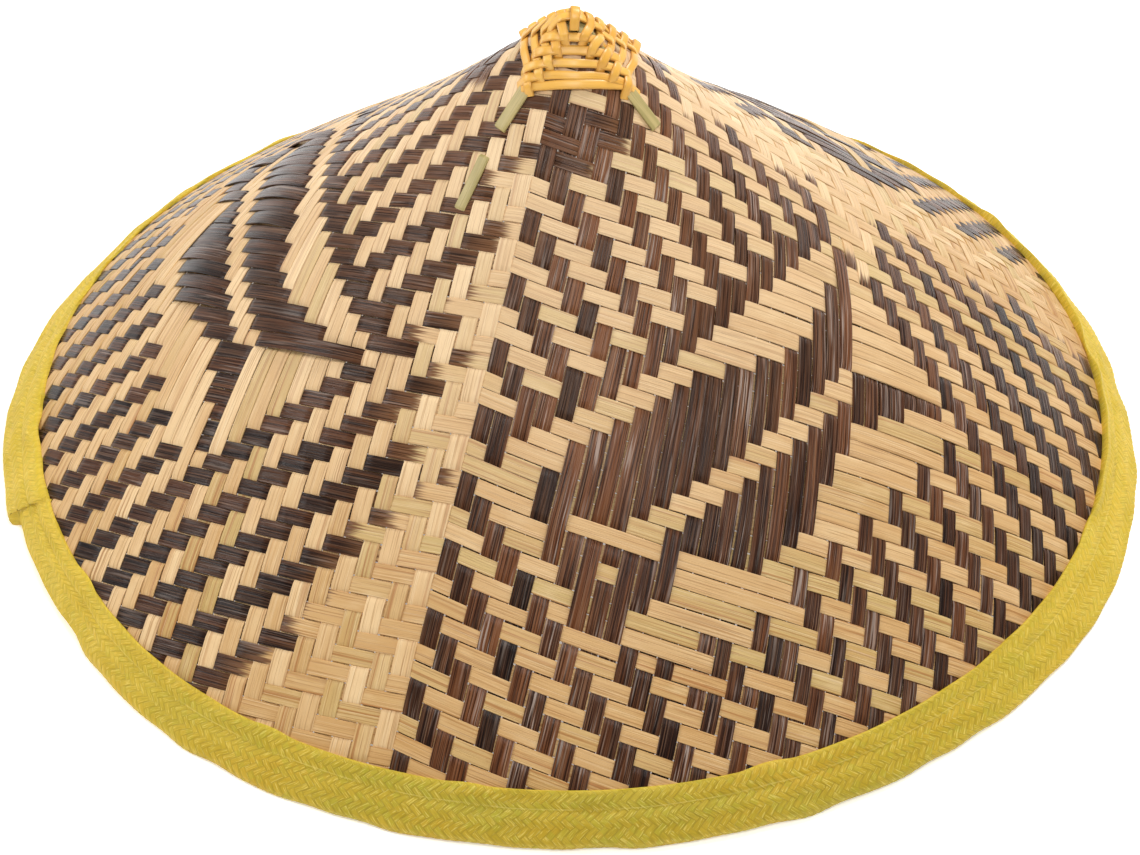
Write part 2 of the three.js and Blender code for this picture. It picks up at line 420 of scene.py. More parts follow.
def stripPiece(name, strips, material):
    places, square = stripPlaces(strips)
    points = []
    faces = []
    grain = []
    bake = []
    marks = {key: [] for key in ("tone", "warmth", "dyed", "edge")}
    base = 0
    for strip, (left, low) in zip(strips, places):
        grid = strip["points"]
        count, corners = grid.shape[:2]
        index = base + np.arange(count * corners).reshape(count, corners)
        around = np.roll(index, -1, axis=1)
        quads = np.stack([index[:-1], index[1:], around[1:], around[:-1]], axis=-1)
        faces += quads.reshape(-1, 4).tolist()
        along = strip["along"] - strip["along"][0]
        girth = strip["girth"]
        u = np.broadcast_to(along[:, None], (count, corners + 1))
        v = np.broadcast_to(girth[None, :], (count, corners + 1))
        bake.append(((unrolled(u, v) + (left, low)) / square).reshape(-1, 2))
        across = np.append(strip["across"], strip["across"][0])
        v = np.broadcast_to(across[None, :], (count, corners + 1))
        shift = strip["shift"]
        loops = unrolled(u + shift, v + shift * sheet["grainStep"])
        grain.append(loops.reshape(-1, 2) * millimetre)
        # the ends
        flat = np.stack([strip["rises"], strip["across"] - strip["across"].min()], axis=-1)
        for end, order, gap in ((0, slice(None), -1), (count - 1, slice(None, None, -1), 1)):
            faces.append(index[end][order].tolist())
            start = left + along[end] + gap * sheet["endGap"]
            bake.append(((flat + (start, low)) / square)[order])
            grain.append((flat * millimetre)[order])
        points.append(grid.reshape(-1, 3))
        # the outermost quarter of each half is its edge
        aside = np.abs(strip["across"]) / strip["across"].max()
        marked = {**strip, "edge": np.clip(aside * 4 - 3, 0, 1)}
        for key, values in marks.items():
            mark = np.asarray(marked.get(key, 0.5), float)
            mark = mark[None, :] if key == "edge" else mark.reshape(-1, 1)
            values.append(np.broadcast_to(mark, (count, corners)).reshape(-1))
        base += count * corners
    maps = {"grain": grain, "OFBake": bake}
    return meshPiece(name, np.concatenate(points), faces, material, maps, marks)


def meshPiece(name, points, faces, material, maps, marks, sharpAngle=38, sampled=20000):
    # the volume under a sample of the faces says whether they look inward
    sample = faces[:: max(1, len(faces) // sampled)]
    corners = [points[face[:3]] for face in sample]
    turned = sum(np.dot(c[0], np.cross(c[1], c[2])) for c in corners) < 0
    mesh = bpy.data.meshes.new(name)
    mesh.from_pydata((points * millimetre).tolist(), [], faces)
    for mapName, parts in maps.items():
        layer = mesh.uv_layers.new(name=mapName)
        layer.uv.foreach_set("vector", np.concatenate(parts).astype(np.float32).ravel())
    for key, parts in marks.items():
        mark = mesh.attributes.new(key, "FLOAT", "POINT")
        mark.data.foreach_set("value", np.concatenate(parts).astype(np.float32))
    if turned:
        mesh.flip_normals()
    mesh.shade_smooth()
    mesh.set_sharp_from_angle(angle=math.radians(sharpAngle))
    mesh.materials.append(material)
    made = bpy.data.objects.new(name, mesh)
    bpy.context.scene.collection.objects.link(made)
    print(name, len(mesh.polygons), "faces", "turned" if turned else "")
    return made


def section(width, thickness, dome, bevel=0.05):
    # corners of a flat strip's section, from one long edge over the top and back underneath
    half = width / 2
    foot = -thickness / 2
    top = thickness / 2
    across = np.array([1, 1, 1 - bevel, 0.5, 0, -0.5, -1 + bevel, -1, -1]) * half
    shoulder = top + dome * 0.75
    low = top * 0.5
    rises = np.array([foot, low, top, shoulder, top + dome, shoulder, top, low, foot])
    steps = np.hypot(np.diff(np.append(across, across[0])), np.diff(np.append(rises, rises[0])))
    return across, rises, np.concatenate(([0], np.cumsum(steps)))


# Splints

plait = {
    "pitch": 5.53,  # at the sectors' boundaries, half way up
    "width": 0.94,  # of the pitch
    "widthSpread": 0.015,
    "slimShare": 0.2,  # of the splints are cut slimmer, by as much as
    "slimBy": 0.09,
    "thickness": 0.5,
    "lift": 0.36,  # of a splint's middle over or under the plait's own middle
    "depth": 0.5,  # of the plait's middle under the crown's outer face
    "stepShare": 0.36,  # part of a cell on each side of a step over or under
    "bow": 0.09,  # extra height for each cell past two that a splint floats over
    "bowMost": 0.45,
    "loose": (1.2, 1.2, 3.4),  # times that, for the right, back and left families' dark floats
    "looseSpread": (0.5, 1.5),
    "flatEnd": 3,  # cells at each end of a splint that don't bow, and then the cells that it takes
    "bowStart": 2,
    "edgeRadius": 204.6,
    "endGap": 0.3,
    "rulings": (-107.5, 12.5, 127, 252.5),  # azimuths of the sectors' boundaries, in degrees
    "splints": 50,  # in each family
    "gather": 0.051,  # how much closer the cells lie near the peak than near the rim
    "sway": 0.016,  # of the pitch
    "roll": 0.022,
    "swayCells": 3.2,  # between two changes of sway and roll
    "dome": 0.05,
    "searchSteps": 1200,
    "seed": 11,
}

# How the plait pulls out of true in each sector: columns and rows that the chart lies further on,
# degrees that it turns round the hat in one swing across the sector and in two, each half way up
# and by how much more at the rim than at the peak, degrees in three swings, and the shares that it
# stretches by down the flank in one swing and in two
pull = (
    {
        "shift": (0, 0),
        "turn": (0, -3.06),
        "second": (1.17, 0.36),
        "third": 0.77,
        "spread": (0.055, 0.029),
    },
    {
        "shift": (0, 0),
        "turn": (0, 0),
        "second": (0, 0),
        "third": 0,
        "spread": (0.04, 0),
    },
    {
        "shift": (1, 0),
        "turn": (-2.4, -4.2),
        "second": (-0.2, 0),
        "third": -0.9,
        "spread": (0.03, 0),
    },
)

# The motif of one sector, row by row from the peak: the first column of each line, then = where
# the pale row lies on top and | where the dark column does. The rest is a two-and-two twill.
chart = {
    5: (18, "==|==="),
    6: (15, "==||||=|=="),
    7: (16, "==||=|||=="),
    8: (13, "==||||==|=||=="),
    9: (14, "==||===|==||=="),
    10: (11, "==||||===||===||=="),
    11: (12, "==||====||====||=="),
    12: (9, "==||||====|||=====||=="),
    13: (10, "==||=====|||======||=="),
    14: (7, "==||||=====||||=======||=="),
    15: (8, "==||=====||||=|||||||=||=="),
    16: (5, "==||||====|||||==||||=====||=="),
    17: (6, "==||===||||||==|||=====|=="),
    18: (3, "==||||==|||||||==||=======||=="),
    19: (4, "==||==|||||||==|||=====|=="),
    20: (1, "==||||==|||||||==|||======||=="),
    21: (2, "==||==|||||||==||||====|=="),
    22: (0, "=||||==|||||||==||||=====||=="),
    23: (0, "==||==|||||||==|||||===|=="),
    24: (0, "|||==|||||||==||||||===||=="),
    25: (0, "||===||||||==||||||==|=="),
    26: (0, "=|==||||||==||||||===||=="),
    27: (0, "====|||||==||||||==|=="),
    28: (0, "|===||=====|=======||=="),
    29: (0, "||===|||||||========||=="),
    30: (0, "=||==|||=|||=====|===||=="),
    31: (0, "==||==|||||======|||=="),
    32: (0, "|==||==|||====||==|||=="),
    33: (0, "||==||=|||=====||===||=="),
    34: (0, "=||==||===|=|===|||=="),
}

# Where the dye of each family ends: numbers of splints, then cells from its sector's boundary
dye = {
    "numbers": (0, 4, 5, 8, 9, 20, 21, 24, 25, 30, 38, 43),
    "right": (-1.5, -1.5, 3.6, 3.6, -1.6, -2, -5.5, -5.5, -2, -2, -3, -4.5),
    "back": (-1.5, -1.5, 3.6, 3.6, -1.6, -2, -5.5, -5.5, -2, -2, -3, -4.5),
    "left": (-1, -1, 3.6, 3.6, -1.2, -1.6, -2, -2.4, -2.4, -3, -6, -9),
    "spread": 0.9,
    "bare": (0, 4, 0),  # how many splints of the right, back and left families carry no dye
    "brown": (1, 0.8, 0.35),  # how far the right, back and left families range from black to brown
    "blacker": (22, 34),  # numbers of splints between which that range shrinks, to
    "blackest": 0.4,
}

sides = ("right", "back", "left")
slantEdge = np.interp(plait["edgeRadius"], slantRadii, slantLengths)


def rowOnTop(sector):
    count = plait["splints"]
    numbers = np.arange(count)
    onTop = np.isin((numbers[:, None] - numbers[None, :]) % 4, (1, 2))  # column first, then row
    for row, (start, line) in chart.items():
        onTop[start : start + len(line), row] = [mark == "=" for mark in line]
    return np.roll(onTop, pull[sector]["shift"], axis=(0, 1))


def sheetSpot(x, y, sector):
    # where a place of a sector's sheet, in cells from its two boundaries, comes to lie on the hat
    bent = pull[sector]
    angle = np.arctan2(x, y)
    slant = np.hypot(x, y) * plait["pitch"]
    low = slant / slantEdge - 0.5
    once, twice = np.sin(2 * angle), np.sin(4 * angle)
    slant = slant * (1 + plait["gather"] * low + bent["spread"][0] * once + bent["spread"][1] * twice)
    start, stop = plait["rulings"][sector : sector + 2]
    azimuth = start + (stop - start) * angle * 2 / np.pi + bent["third"] * np.sin(6 * angle)
    turn = (bent["turn"][0] + bent["turn"][1] * low) * once
    azimuth += turn + (bent["second"][0] + bent["second"][1] * low) * twice
    return np.interp(slant, slantLengths, slantRadii), np.radians(azimuth)


def bowOver(levels):
    # for each cell the first cell and the length of the float that it is in
    starts = np.flatnonzero(np.concatenate(([True], levels[1:] != levels[:-1])))
    lengths = np.diff(np.append(starts, len(levels)))
    return np.repeat(starts, lengths), np.repeat(lengths, lengths)


def ease(t):
    return t * t * (3 - 2 * t)


def cellsFrom(offset, sector, upright):
    # how many cells a splint runs on in a sector before it reaches the rim
    run = np.linspace(0, plait["splints"] * 1.1, plait["searchSteps"])
    side = np.full(plait["searchSteps"], offset)
    radius = sheetSpot(side, run, sector)[0] if upright else sheetSpot(run, side, sector)[0]
    return float(np.interp(plait["edgeRadius"] - plait["endGap"], radius, run))


def stationsOf(levels, cells, reach):
    # where a splint has its sections: the middles of its cells, the steps between them and its ends
    share = plait["stepShare"]
    stations = [-reach[0], reach[1]]
    for k in range(len(levels)):
        stations.append(k - cells[0] + 0.5)
        if k and levels[k] != levels[k - 1]:
            stations += [k - cells[0] + share * part for part in (-1, -0.5, 0, 0.5, 1)]
    return np.unique([s for s in stations if -reach[0] <= s <= reach[1]])


def heightsAt(stations, levels, cells, reach, loose):
    # a splint's middle over the crown's outer face, as it steps over and under and bows on its floats
    share = plait["stepShare"]
    place = np.clip(stations + cells[0], 0.001, len(levels) - 0.001)
    cell = place.astype(int)
    inside = place - cell
    before = levels[np.maximum(cell - 1, 0)]
    after = levels[np.minimum(cell + 1, len(levels) - 1)]
    here = levels[cell]
    level = here.astype(float)
    entering = inside < share
    level[entering] = (before + (here - before) * ease((inside + share) / (2 * share)))[entering]
    leaving = inside > 1 - share
    level[leaving] = (here + (after - here) * ease((inside - 1 + share) / (2 * share)))[leaving]
    starts, lengths = bowOver(levels)
    middle = (place - starts[cell]) / lengths[cell] * 2 - 1
    bow = np.minimum(plait["bow"] * np.maximum(lengths[cell] - 2, 0), plait["bowMost"])
    fromRim = np.minimum(stations + reach[0], reach[1] - stations)
    bow = np.where((stations < 0) & (here > 0), bow * loose, bow)
    bow = bow * np.clip((fromRim - plait["flatEnd"]) / plait["bowStart"], 0, 1)
    return level * (plait["lift"] + bow * np.clip(1 - middle**2, 0, 1)) - plait["depth"]


def splint(family, number, patterns, chosen):
    offset = number + 0.5
    sectors = family, (family + 1) % 3  # it runs up the first as a column and down the next as a row
    half = plait["width"] / 2
    reach = [min(cellsFrom(offset + side, sector, way) for side in (-half, half))
             for sector, way in zip(sectors, (True, False))]
    if min(reach) < 1:
        return None
    cells = [min(int(r) + 1, plait["splints"]) for r in reach]
    asColumn = np.where(patterns[sectors[0]][number, : cells[0]], -1, 1)[::-1]
    asRow = np.where(patterns[sectors[1]][: cells[1], number], 1, -1)
    levels = np.concatenate([asColumn, asRow])
    stations = stationsOf(levels, cells, reach)
    loose = plait["loose"][family] * chosen.uniform(*plait["looseSpread"])
    height = heightsAt(stations, levels, cells, reach, loose)

    knots = np.linspace(-reach[0], reach[1], max(4, int(sum(reach) / plait["swayCells"])))
    sway = np.interp(stations, knots, chosen.normal(0, plait["sway"], len(knots)))
    roll = np.interp(stations, knots, chosen.normal(0, plait["roll"], len(knots)))
    slim = plait["slimBy"] * chosen.uniform(0.4, 1) * (chosen.uniform() < plait["slimShare"])
    width = plait["width"] * min(1 + chosen.normal(0, plait["widthSpread"]) - slim, 1.03)
    across, rises, girth = section(width * plait["pitch"], plait["thickness"], plait["dome"])
    side = offset + sway[:, None] + across[None, :] / plait["pitch"]
    run = np.broadcast_to(stations[:, None], side.shape)
    column = sheetSpot(side, np.maximum(-run, 0), sectors[0])
    row = sheetSpot(np.maximum(run, 0), side, sectors[1])
    radius = np.where(run < 0, column[0], row[0])
    azimuth = np.where(run < 0, column[1], row[1])
    standOff = height[:, None] + rises[None, :] + roll[:, None] * across[None, :]
    dyeEnd = np.interp(number, dye["numbers"], dye[sides[family]]) + chosen.normal(0, dye["spread"])
    if number < dye["bare"][family]:
        dyeEnd = -2 * plait["splints"]
    brown = dye["brown"][family]
    return {
        "points": flankSpot(radius, azimuth, standOff),
        "along": stations * plait["pitch"],
        "across": across,
        "rises": rises,
        "girth": girth,
        "shift": number * 7.3 + family * 411,  # so that hardly any two share a stretch of grain
        "tone": chosen.uniform(0, 1) * brown * np.interp(number, dye["blacker"], (1, dye["blackest"])),
        "warmth": chosen.uniform(0, 1),
        "dyed": (dyeEnd - stations) * plait["pitch"] * millimetre,
    }


def splints():
    patterns = [rowOnTop(sector) for sector in range(3)]
    chosen = np.random.default_rng(plait["seed"])
    material = splintFinish()
    for family, side in enumerate(sides):
        strips = [splint(family, number, patterns, chosen) for number in range(plait["splints"])]
        made = stripPiece("splints_" + side, [s for s in strips if s], material)
        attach(made, "root")
        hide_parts("crown")


# Binding

tape = {
    "inner": 195.5,
    "clearance": 0.3,
    "thickness": 1.15,
    "crease": 0.45,
    "foldRadius": 2.2,
    "foldHeight": 2.0,
    "foldBlend": 1.5,
    "width": 19,  # from its inner edge to its fold
    "edgePoints": 5,  # on the cut edge, outer leaf, fold and under leaf, before they are evened out
    "leafPoints": 60,
    "foldPoints": 30,
    "underPoints": 20,
    "edgeFoot": 0.05,  # height over the crown where the cut edge begins, and where the slot does
    "slotFoot": 0.04,
    "slotInset": 0.6,  # of the slot's ends from the tape's inner edge
    "strand": 2.2,  # width of one straw strand
    "strandRound": 2.5,
    "strandEnd": 0.6,  # height of a strand where it goes under, as a part of its middle's
    "relief": 0.2,
    "reliefMiddle": 0.6,
    "stepsPerStrand": 4,
    "stepsAround": 1664,  # a multiple of the sixteen that the braid repeats in
    "oliveAt": 0.755,  # part of the way round, where the straw is most olive
    "creaseAt": 2.55,  # strands in from the inner edge
    "lapStart": 198.3,  # azimuth of the lapped end at its inner edge
    "lapSlant": -1.9,  # degrees that the cut has gained at the outer edge
    "lapLength": 30,
    "lapHeight": 1.3,
    "lapCut": 0.3,
    "lapDraw": 0.8,  # millimetres that the upper end and the lower one draw in toward the crown
    "lapEase": 12,  # degrees over which the upper one eases back out
    "lowerDraw": 3.6,
    "lowerReach": (209, 230),  # azimuths between which the lower one eases back out
    "lowerShare": 0.25,  # of that draw at the tape's inner edge
    "drawFrom": 199,  # radius where the tape begins to draw in, and how much further out it does so fully
    "drawOver": 8,
    "drawFoot": 5,  # height from which it draws in along the flank, and ever more level below
    "rightEdge": 2.8,  # millimetres that the tape is narrower at the right
    "rightAt": 0.1,  # azimuth in radians, then the spread in degrees
    "rightSpread": 42,
    "edgeReach": 9,  # how far from its inner edge the tape takes part in that and in the edge's waves
    "backDraw": 3,  # millimetres that it draws in at the back, and how much lower it lies there
    "backPress": 0.5,
    "backSpread": 1.6,  # the greater, the longer the stretch at the back, and so at the front
    "backEase": 0.7,
    "frontDraw": 0.9,
    "frontSpread": 1.3,
    # azimuth, spread and height of the stretches where it stands out, or draws in
    "full": ((328, 16, 2.2), (168, 10, 2.3), (146, 6, -1.6), (1, 7, -1.2)),
    "edgeWave": 0.9,
    "edgeCounts": (9, 14, 23, 37, 51),  # of waves round the rim
    "bulge": 0.35,
    "bulgeCounts": (7, 19, 31, 48),
    "hump": 0.25,
    "humpCounts": (29, 43, 67),
    "humpsAcross": 3,  # half waves, from the inner edge to the fold
    "calmEdge": 4,  # millimetres over which bulges and humps grow from the inner edge
    "seed": 5,
}


def waves(azimuth, counts, chosen):
    # a smooth curve round the rim, between about -1 and 1
    total = sum(np.cos(n * azimuth + chosen.uniform(0, 2 * np.pi)) for n in counts)
    return total / math.sqrt(len(counts))


def tapeSection(step):
    # evenly spaced points of the tape's outer faces in the plane through the axis, from its inner
    # edge over the fold to its under leaf, with how much of the lap and of the bulges each takes
    outerFace = tape["clearance"] + tape["thickness"]
    underFace = -crown["wall"] - outerFace
    centre = crown["rimRadius"] - tape["foldRadius"]
    t = np.linspace(0, 1, tape["leafPoints"])
    radius = tape["inner"] + (centre - tape["foldBlend"] - tape["inner"]) * t
    outward, upward = flankNormal(radius)
    standOff = outerFace + tape["crease"] * np.abs(np.sin(2 * np.pi * t))
    lead = np.linspace(tape["edgeFoot"], outerFace, tape["edgePoints"])[:-1]  # the tape's own cut edge
    leadOut, leadUp = flankNormal(tape["inner"])
    edge = [(tape["inner"] + s * leadOut, flankHeight(tape["inner"]) + s * leadUp, 1) for s in lead]
    leaf = [*zip(radius + standOff * outward, flankHeight(radius) + standOff * upward, np.ones(len(t)))]
    slope = math.atan2(*reversed(flankNormal(centre)))
    footAngle = math.asin(tape["foldHeight"] / tape["foldRadius"])
    fold = []
    for angle in np.linspace(slope, -footAngle, tape["foldPoints"]):
        share = (angle + footAngle) / (slope + footAngle)
        x = centre + tape["foldRadius"] * math.cos(angle)
        fold.append((x, tape["foldHeight"] + tape["foldRadius"] * math.sin(angle), share))
    for angle in np.linspace(footAngle - math.pi, slope - math.pi, tape["underPoints"]):
        x = centre + tape["foldRadius"] * math.cos(angle)
        fold.append((x, tape["foldHeight"] + tape["foldRadius"] * math.sin(angle), 0))
    under = np.linspace(centre - 2 * tape["foldRadius"], tape["inner"], tape["underPoints"])
    outward, upward = flankNormal(under)
    nought = np.zeros(len(under))
    back = [*zip(under + underFace * outward, flankHeight(under) + underFace * upward, nought)]
    line = np.array([*edge, *leaf, *fold, *back])
    lengths = np.concatenate(([0], np.cumsum(np.hypot(*np.diff(line[:, :2], axis=0).T))))
    count = int(lengths[-1] / step)
    even = np.linspace(0, lengths[-1], count + 1)
    return np.stack([np.interp(even, lengths, line[:, k]) for k in range(3)], axis=-1), even


def braidHeight(first, second):
    # relief of a flat herringbone braid whose strands run along either diagonal
    above = np.mod(np.floor(first) - np.floor(second), 4) < 2
    side = np.where(above, second, first) % 1
    along = np.where(above, first - np.floor(second), second - np.floor(first) + 3)
    run = np.mod(along, 4) / 2
    pillow = 1 - np.abs(2 * side - 1) ** tape["strandRound"]
    rise = (1 - tape["strandEnd"]) * np.sin(np.pi * np.clip(run, 0, 1))
    return pillow * (tape["strandEnd"] + rise)


def tapeRelief(steps, rows):
    # the braid's relief over the tape, which dies out toward the section's two ends
    columns = np.arange(steps)[:, None]
    numbers = np.arange(rows)[None, :]
    each = tape["stepsPerStrand"]
    nudge = 0.001  # keeps the corners off the strands' boundaries
    relief = braidHeight((columns + numbers) / each + nudge, (columns - numbers) / each + nudge)
    faded = np.clip(np.minimum(numbers - 2, rows - numbers) / 3, 0, 1)
    return (relief - tape["reliefMiddle"]) * tape["relief"] * faded


def tapeLap(degrees, even, leaf):
    # how much the lapped end stands up, and how many degrees past each place it ends
    reachShare = np.clip(even / tape["width"], 0, 1)
    lapEnd = tape["lapStart"] + tape["lapSlant"] * reachShare
    before = lapEnd[None, :] - degrees[:, None]
    lap = np.clip(1 - before / tape["lapLength"], 0, 1)
    lap = np.where(before < 0, np.clip(1 + before / tape["lapCut"], 0, 1), lap)
    return lap * leaf * tape["lapHeight"], before


def tapeDraw(degrees, before, radius, atBack, atFront):
    # how far the tape draws in toward the axis
    start, stop = tape["lowerReach"]
    upper = tape["lapDraw"] * np.exp(-np.maximum(before, 0) / tape["lapEase"])
    lower = tape["lowerDraw"] * ease(np.clip((stop - degrees) / (stop - start), 0, 1))[:, None]
    outer = np.clip((radius - tape["drawFrom"]) / tape["drawOver"], 0, 1)
    least = tape["lowerShare"]
    draw = np.where(before > 0, upper * outer, lower * (least + (1 - least) * outer))
    full = np.zeros((len(degrees), 1))
    for place, spread, height in tape["full"]:
        apart = (degrees - place + 180) % 360 - 180
        full += height * np.exp(-((apart / spread) ** 2))[:, None]
    return draw + (tape["backDraw"] * atBack + tape["frontDraw"] * atFront - full) * outer


def tapeSlot():
    # the corners of the slot between the two leaves, in which the crown's edge lies
    under = -crown["wall"] - tape["clearance"]
    outermost = crown["edge"] + tape["clearance"]
    inmost = tape["inner"] + tape["slotInset"]
    slot = []
    for radius, standOff in (
        (inmost, under),
        (outermost, under),
        (outermost, tape["clearance"]),
        (inmost, tape["slotFoot"]),
    ):
        outward, upward = flankNormal(radius)
        slot.append((radius + standOff * outward, flankHeight(radius) + standOff * upward))
    return np.array(slot)


def binding():
    chosen = np.random.default_rng(tape["seed"])
    line, even = tapeSection(tape["strand"] / (2 * math.sqrt(2)))
    leaf = line[None, :, 2]
    steps = tape["stepsAround"]
    rows = len(line)
    azimuth = np.arange(steps) * 2 * np.pi / steps
    degrees = np.degrees(azimuth)
    tangent = np.gradient(line[:, :2], axis=0)
    tangent /= np.linalg.norm(tangent, axis=1)[:, None]
    normal = np.stack([-tangent[:, 1], tangent[:, 0]], axis=-1)

    relief = tapeRelief(steps, rows)
    lap, before = tapeLap(degrees, even, leaf)
    atBack = np.clip(tape["backSpread"] * np.sin(azimuth), 0, 1)[:, None] ** tape["backEase"]
    atFront = np.clip(-tape["frontSpread"] * np.sin(azimuth), 0, 1)[:, None]
    draw = tapeDraw(degrees, before, line[None, :, 0], atBack, atFront)

    innerShare = np.clip(1 - even / tape["edgeReach"], 0, 1)[None, :]
    edgeWave = tape["edgeWave"] * waves(azimuth, tape["edgeCounts"], chosen)[:, None] * innerShare
    fromRight = np.degrees(np.angle(np.exp(1j * (azimuth - tape["rightAt"]))))
    atRight = np.exp(-((fromRight / tape["rightSpread"]) ** 2))[:, None]
    edgeWave = edgeWave - tape["rightEdge"] * atRight * innerShare
    bulge = tape["bulge"] * waves(azimuth, tape["bulgeCounts"], chosen)[:, None] * (leaf > 0)
    across = np.sin(even / tape["width"] * tape["humpsAcross"] * np.pi)[None, :]
    hump = tape["hump"] * waves(azimuth, tape["humpCounts"], chosen)[:, None] * across
    lap = lap - tape["backPress"] * atBack * leaf
    grown = np.clip(even / tape["calmEdge"], 0, 1)[None, :]
    out = relief + lap + (bulge + hump * (leaf > 0)) * grown
    spot = line[None, :, :2] + normal[None] * out[..., None] - tangent[None] * edgeWave[..., None]
    climb = flankHeight(spot[..., 0] - draw) - flankHeight(spot[..., 0])
    spot[..., 1] += climb * np.clip(spot[..., 1] / tape["drawFoot"], 0, 1)
    spot[..., 0] -= draw
    slot = tapeSlot()
    spot = np.concatenate([spot, np.broadcast_to(slot[None], (steps, *slot.shape))], axis=1)
    height = np.maximum(spot[..., 1], 0)
    x = spot[..., 0] * np.cos(azimuth)[:, None]
    y = spot[..., 0] * np.sin(azimuth)[:, None]
    points = np.stack([x, y, height], axis=-1)

    corners = rows + len(slot)
    index = np.arange(steps * corners).reshape(steps, corners)
    ahead = np.roll(index, -1, axis=0)
    quads = [index, ahead, np.roll(ahead, -1, axis=1), np.roll(index, -1, axis=1)]
    faces = np.stack(quads, axis=-1).reshape(-1, 4)
    u = np.arange(steps + 1)[:, None] / tape["stepsPerStrand"] + np.zeros((1, corners + 1))
    v = np.arange(corners + 1)[None, :] / tape["stepsPerStrand"] + np.zeros((steps + 1, 1))
    braid = unrolled(u, v).reshape(-1, 2)
    made = meshPiece(
        "straw_binding",
        points.reshape(-1, 3),
        faces.tolist(),
        strawFinish(),
        {"braid": [braid]},
        {},
        sharpAngle=60,
    )
    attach(made, "root")
    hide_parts("rim_binding")


# Strips laid on the crown near its peak

legs = {
    "width": 4.8,
    "thickness": 0.75,
    "ends": ((-23.2, -23.6), (28.6, -20.2), (27.4, 19.8), (-20.6, 22.4)),
    "centre": (1.5, -2),
    "bare": (1, 1, 0.72, 0.7),  # part of each arm that shows before it goes under the plait
    "standOff": 0.6,
    "dome": 0.06,
    "sections": 161,
    "crossing": 1.1,  # how much higher the upper one lies at the peak, and over what reach
    "crossingReach": 7,
    "tuck": 4,  # millimetres at each end that go down into the plait
    "diveLead": 0.2,  # the way down begins so far before the bare part's end, and its length and depth
    "diveOver": 0.8,
    "diveDepth": 2.1,
    # the front left one comes up again further down
    "again": ((-28, -28.9), (-37.2, -41.7)),
    "againSections": 81,
    "againWidth": 4.2,
    "againThickness": 0.5,
    "againStandOff": 0.32,
    "againEnd": 0.07,  # part of it at each end that goes down, by
    "againDepth": 2,
    "caneReach": 3.6,  # how far to each side of a leg canes lie higher, and from where along it
    "caneBehind": -2,
}

cane = {
    "width": 3.2,
    "widthSpread": 0.03,
    "thickness": 0.75,
    "dome": 0.12,
    "rise": 0.6,  # over or under at a crossing
    "standOff": 0.85,
    "overLegs": 1.3,  # more of it where a leg runs below
    "peak": (1, -1.6),
    "peakReach": 4.6,
    "peakLift": 2.2,
    # where the courses turn on each ridge, from the outermost one up
    "frontLeft": ((-13.2, -16.4), (-9.6, -14.8), (-6.6, -12.3), (-3.9, -9.6), (-1.6, -6.6)),
    "frontRight": ((18, -13.9), (13.6, -13.8), (10, -11.5), (6.6, -9), (4, -6.2)),
    "backRight": ((21.5, 13.5), (17, 10.3), (12.6, 7.2), (8.3, 4.2), (4.4, 1.1)),
    "backLeft": ((-15, 12.5), (-11.6, 9.3), (-8.3, 6.2), (-5, 3.2), (-2, 0.6)),
    # where the front courses end past the ridges
    "leftEnds": ((-16.8, -15.2), (-17.4, -13.6), (-16.4, -10.6), (-13.6, -7.2), (-10.8, -3.8)),
    "rightEnds": ((20.6, -12.9), (23.2, -12.6), (19.4, -9.7), (16.4, -6.7), (13.1, -3.8)),
    "bows": {
        "front": (3.1, 1.9, 1.2, 0.4, 0.2),
        "right": (1.5, 2.3, 2.3, 2, 1),
        "back": (1.2, 1.2, 1, 0.6, 0.3),
        "left": (0.9, 1.1, 0.8, 0.5, 0.3),
    },
    "tail": 2.3,  # millimetres that the side courses go on past a ridge
    "longTail": 1.5,  # times that, for the outermost one at the right
    "backReach": 1.8,  # how far the back courses go on sideways past a ridge, and down
    "backDrop": 1.6,
    "endLevel": -3.2,  # of a cane's ends, where a crossing has one or minus one
    "gapLevel": 0.1,  # half way between two crossings more sections apart than
    "longGap": 22,
    "touch": 0.6,  # distance in plan at which two canes count as crossing
    "overFrom": 2,  # x from which a side cane lies over the course just above its own
    "crosser": ((-8.6, -4), (-4.4, -2.2), (1, -1.6), (5.4, -0.9), (9.8, 0.6)),
    "knot": ((1.1, -5), (1, -3.4), (1, -1.6), (1, 0.2), (1, 2.2)),
    "knotLevels": (-1.6, 1.4, 2.7, 2, -1.6),
    "seed": 3,
}


def laidStrip(plan, standOff, width, thickness, dome, tone, shift):
    radius = np.hypot(*plan.T)
    outward, upward = flankNormal(radius)
    safe = np.maximum(radius, 0.001)
    up = np.stack([plan[:, 0] / safe * outward, plan[:, 1] / safe * outward, upward], axis=-1)
    foot = np.stack([plan[:, 0], plan[:, 1], flankHeight(radius)], axis=-1)
    middle = foot + up * standOff[:, None]
    along = np.gradient(middle, axis=0)
    along /= np.linalg.norm(along, axis=1)[:, None]
    side = np.cross(up, along)
    side /= np.linalg.norm(side, axis=1)[:, None]
    face = np.cross(along, side)
    across, rises, girth = section(width, thickness, dome, bevel=0.12)
    points = middle[:, None] + side[:, None] * across[None, :, None]
    points = points + face[:, None] * rises[None, :, None]
    lengths = np.concatenate(([0], np.cumsum(np.linalg.norm(np.diff(middle, axis=0), axis=1))))
    return {
        "points": points,
        "along": lengths,
        "across": across,
        "rises": rises,
        "girth": girth,
        "shift": shift,
        "tone": tone,
    }


